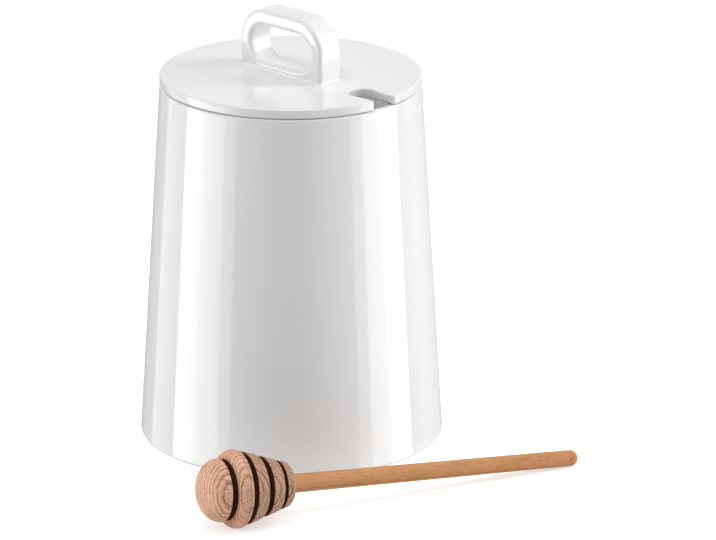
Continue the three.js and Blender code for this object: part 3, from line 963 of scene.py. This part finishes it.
class HONEYPOT_OT_stage(PieceOperator, bpy.types.Operator):
    """Set the white floor, the soft lamps, the room's light and the camera"""
    bl_idname = "honeypot.stage"
    bl_label = "Stage"

    camera_place = Vector((1.41421, -1.41421, 0.735637))
    camera_heading = math.radians(134.2645)
    camera_pitch = 0.3241147  # in radians, downwards
    camera_roll = 0.0015915
    sensor_width = 36  # in millimetres

    def camera(self, context, lens):
        ahead = Vector((math.cos(self.camera_heading), math.sin(self.camera_heading), 0))
        right = Vector((ahead.y, -ahead.x, 0))
        forward = ahead * math.cos(self.camera_pitch) - Vector((0, 0, math.sin(self.camera_pitch)))
        up = right.cross(forward)
        roll_right = right * math.cos(self.camera_roll) + up * math.sin(self.camera_roll)
        roll_up = up * math.cos(self.camera_roll) - right * math.sin(self.camera_roll)
        data = bpy.data.cameras.new("camera")
        data.lens, data.sensor_width, data.sensor_fit = 1000 * lens, self.sensor_width, "HORIZONTAL"
        camera = bpy.data.objects.new("camera", data)
        turn = Matrix((roll_right, roll_up, -forward)).transposed().to_4x4()
        camera.matrix_world = Matrix.Translation(self.camera_place) @ turn
        context.scene.collection.objects.link(camera)
        context.scene.camera = camera

    def round_pot(self, degrees, distance, height):
        """A place round the pot: 0 degrees is towards the camera, positive to its right."""
        turn = self.camera_heading + math.pi + math.radians(degrees)
        return Vector((math.cos(turn) * distance, math.sin(turn) * distance, height))

    def lamp(self, context, name, place, target, size, level):
        """A soft lamp that faces a target. Its power is what gives it a level as its radiance."""
        data = bpy.data.lights.new(name, "AREA")
        data.shape, data.size, data.size_y = "RECTANGLE", *size
        data.energy = level * math.pi * size[0] * size[1]
        lamp = bpy.data.objects.new(name, data)
        facing = (target - place).to_track_quat("-Z", "Y").to_matrix().to_4x4()
        lamp.matrix_world = Matrix.Translation(place) @ facing
        lamp.visible_camera = False
        context.scene.collection.objects.link(lamp)
        return data

    def panel(self, context, name, turns, heights, level):
        """An upright lamp round the pot, between two turns from the camera and two heights."""
        distance = pot_settings().studio.distance
        width = 2 * distance * math.tan(math.radians(turns[1] - turns[0]) / 2)
        middle = sum(heights) / 2
        self.lamp(context, name, self.round_pot(sum(turns) / 2, distance, middle), Vector((0, 0, middle)),
                  (width, heights[1] - heights[0]), level)

    def sheet(self, context, name, material, corners):
        """A flat face that belongs to the stage."""
        mesh = bpy.data.meshes.new(name)
        mesh.from_pydata(corners, [], [range(len(corners))])
        mesh.materials.append(material)
        sheet = bpy.data.objects.new(name, mesh)
        context.scene.collection.objects.link(sheet)
        return sheet

    def floor(self, context, studio):
        reach = 6
        floor = self.sheet(context, "floor", white_ground("White Paper", studio.floor_lift),
                           [(-reach, -reach, 0), (reach, -reach, 0), (reach, reach, 0), (-reach, reach, 0)])
        # The photographed pot doesn't mirror its floor.
        floor.visible_glossy = False

    def side_lamps(self, context, studio):
        """The two softboxes that the pot's side mirrors, and the weaker scrims and spill that fade them out.
        The side leans back and mirrors what is below the table, so all of them start below it."""
        below, low, left_top, right_top = -0.55, 0.05, 0.38, 1.4
        for name, turns, top, level in (
                ("left_softbox", (-98.5, -77), left_top, studio.softbox),
                ("left_scrim", (-77, -66), low, studio.wing),
                ("left_scrim_edge", (-66, -56.5), low, 0.9 * studio.wing),
                ("left_spill", (-56.5, -46), low, 0.45 * studio.wing),
                ("left_back_scrim", (-130, -98.5), low, 0.2 * studio.wing),
                ("left_back_spill", (-155, -130), low, 0.22 * studio.wing),
                ("right_softbox", (81, 102), right_top, studio.softbox),
                ("right_scrim", (62.5, 81), low, 0.82 * studio.wing),
                ("right_spill", (52, 62.5), low, 0.35 * studio.wing)):
            self.panel(context, name, turns, (below, top), level)

    def edge_cards(self, context, studio):
        """Grey cards behind the pot, which only its outermost edges mirror."""
        near, far, bottom, top = 130, 172, -0.6, 0.12
        for side, label, grey in ((-1, "left", "DCDCDC"), (1, "right", "F0F0F0")):
            corners = [self.round_pot(side * turn, studio.distance, height)
                       for turn, height in ((near, bottom), (far, bottom), (far, top), (near, top))]
            painted = grey_card(f"Card, {label.capitalize()}", grey)
            card = self.sheet(context, f"{label}_edge_card", painted, corners)
            card.visible_camera = card.visible_diffuse = card.visible_shadow = False

    def near_lamps(self, context, studio, dipper):
        """The panel above the lid, and the small gridded lamp on the dipper's head."""
        lid_middle, panel_size = Vector((0, 0, 0.14)), (0.45, 0.45)
        self.lamp(context, "key", self.round_pot(-25, 0.2, 0.78), lid_middle, panel_size, studio.key)
        head = dipper_place(dipper) @ Vector((0, 0, head_places(dipper).belly))
        place, spot_size = head + self.round_pot(-66, 0.3, 0.17), (0.06, 0.06)
        spot = self.lamp(context, "dipper_spot", place, head, spot_size, studio.spot)
        spot.spread = math.radians(14)

    def execute(self, context):
        studio = pot_settings().studio
        self.camera(context, studio.lens)
        self.floor(context, studio)
        self.side_lamps(context, studio)
        self.edge_cards(context, studio)
        self.near_lamps(context, studio, pot_settings().dipper)
        context.scene.world = white_room("studio", studio.ambient)
        context.scene.view_settings.view_transform = "Standard"
        return {"FINISHED"}


class HONEYPOT_PT_panel(bpy.types.Panel):
    bl_label = "Honey Pot"
    bl_idname = "HONEYPOT_PT_panel"
    bl_space_type = "VIEW_3D"
    bl_region_type = "UI"
    bl_category = "Honey Pot"

    def draw(self, context):
        settings = pot_settings()
        for operator in OPERATORS:
            self.layout.operator(operator.bl_idname)
        for group, kind in SETTINGS.items():
            box = self.layout.box()
            box.label(text=group.capitalize())
            for name in kind.__annotations__:
                box.prop(getattr(settings, group), name)


OPERATORS = (
    HONEYPOT_OT_pot_shell,
    HONEYPOT_OT_lid,
    HONEYPOT_OT_handle,
    HONEYPOT_OT_screws,
    HONEYPOT_OT_dipper,
    HONEYPOT_OT_stage,
)
CLASSES = (*SETTINGS.values(), HoneyPotSettings, *OPERATORS, HONEYPOT_PT_panel)


def register():
    for kind in CLASSES:
        bpy.utils.register_class(kind)
    bpy.types.Scene.honey_pot = bpy.props.PointerProperty(type=HoneyPotSettings)


def unregister():
    del bpy.types.Scene.honey_pot
    for kind in reversed(CLASSES):
        bpy.utils.unregister_class(kind)


def main():
    register()
    bpy.ops.honeypot.pot_shell()
    bpy.ops.honeypot.lid()
    bpy.ops.honeypot.handle()
    bpy.ops.honeypot.screws()
    bpy.ops.honeypot.dipper()
    bpy.ops.honeypot.stage()


if __name__ == "__main__":
    main()
